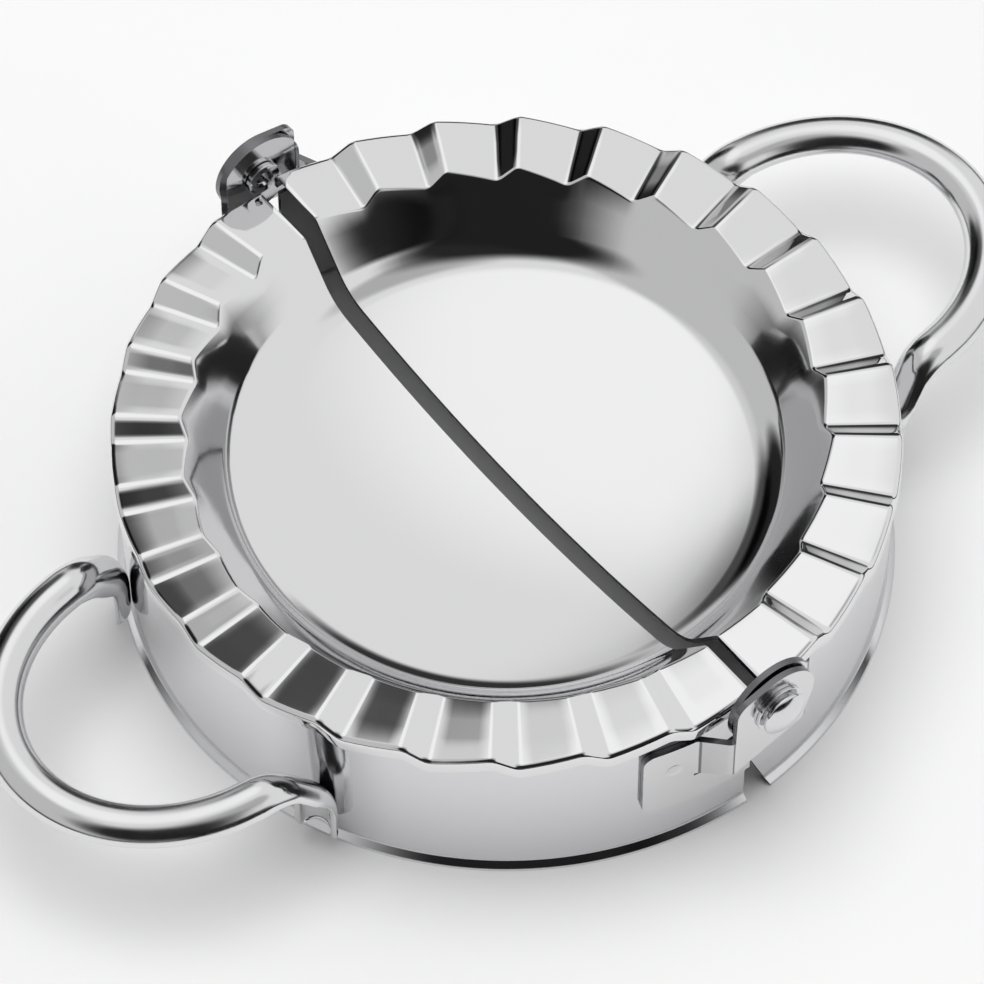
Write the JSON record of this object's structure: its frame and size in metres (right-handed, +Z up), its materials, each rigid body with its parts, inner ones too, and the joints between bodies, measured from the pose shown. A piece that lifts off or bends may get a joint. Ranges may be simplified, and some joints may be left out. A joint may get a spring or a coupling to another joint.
{
  "type": "empanada press",
  "caption": "Hinged dough press of polished steel sheet: fluted half bowls over cutting skirts fold shut on riveted ears and are worked by half round strip loop handles.",
  "frame": {"origin": "on the table under the middle of the open press, half way between the two hinges", "axes": "+X from the hinge line to the right half's handle, +Y along the hinge line, +Z up"},
  "size_m": [0.1488, 0.1062, 0.0295],
  "materials": {
    "die_steel": "polished",
    "skirt_steel": "polished",
    "handle_steel": "polished",
    "hinge_steel": "rolled sheet",
    "rivet_steel": "turned"
  },
  "bodies": {
    "left_half": {"die_left": "die_steel", "skirt_left": "skirt_steel", "handle_left": "handle_steel", "hinge_outer_near": "hinge_steel", "hinge_inner_far": "hinge_steel", "rivet_near": "rivet_steel", "washer_near": "rivet_steel"},
    "right_half": {"die_right": "die_steel", "skirt_right": "skirt_steel", "handle_right": "handle_steel", "hinge_outer_far": "hinge_steel", "hinge_inner_near": "hinge_steel", "rivet_far": "rivet_steel", "washer_far": "rivet_steel"}
  },
  "joints": [
    {"name": "fold", "type": "hinge", "parent": "left_half", "child": "right_half", "pos_m": [0, 0, 0.0235], "axis": [0, -1, 0], "range_deg": [0, 180]}
  ]
}
